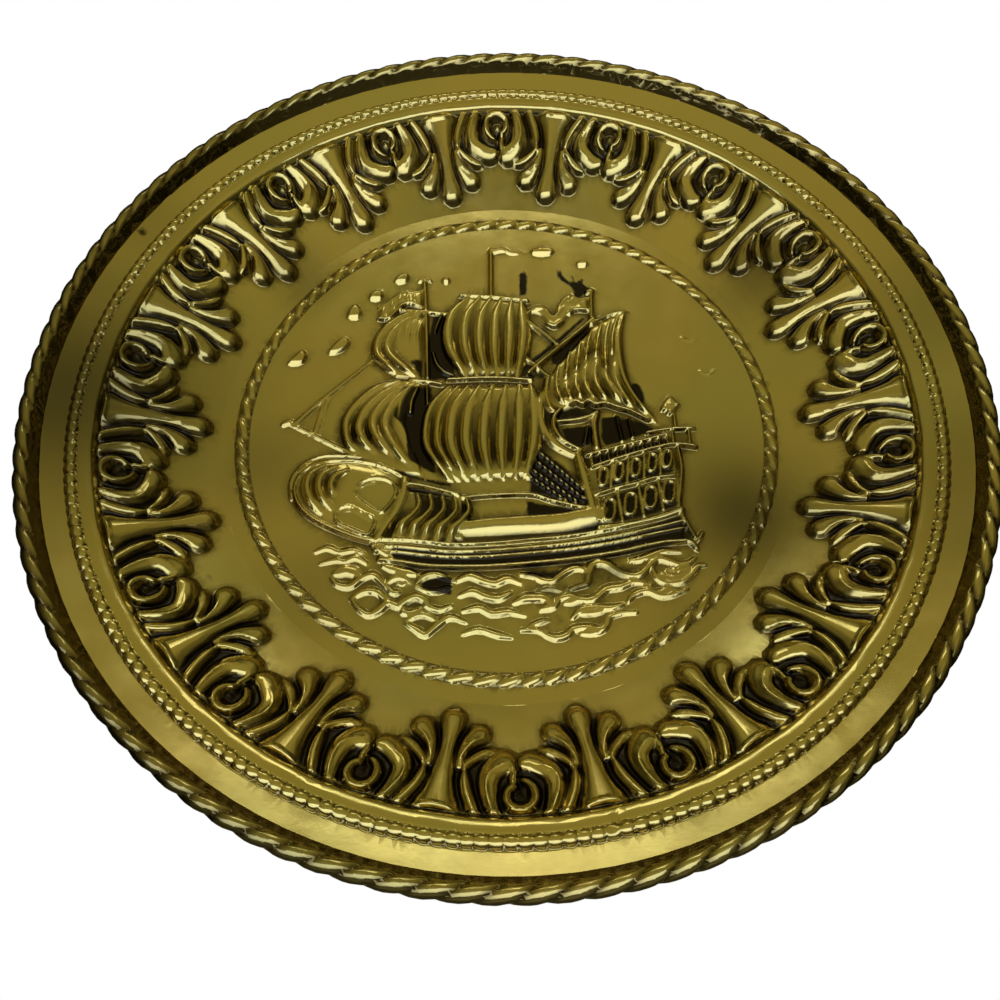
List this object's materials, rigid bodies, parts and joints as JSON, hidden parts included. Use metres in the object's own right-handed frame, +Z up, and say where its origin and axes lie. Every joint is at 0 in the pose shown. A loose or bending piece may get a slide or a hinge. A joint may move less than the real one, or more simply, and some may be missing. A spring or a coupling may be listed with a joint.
{
  "type": "decorative wall plaque",
  "caption": "Round pressed-brass wall plaque with a galleon in low relief, a leaf-and-scroll border, a beaded band and roped edges.",
  "frame": {"origin": "centre of the flat back of the ship's field, where the plaque meets the wall", "axes": "+Y into the wall, so the front faces -Y; +Z up the ship's masts; +X to the right as seen from the front"},
  "size_m": [0.305, 0.0271, 0.305],
  "materials": {
    "antique_brass": "polished antique brass, lacquered, with near-black patina left in the deep places of the relief"
  },
  "bodies": {
    "root": {"plate": "antique_brass"}
  },
  "joints": []
}
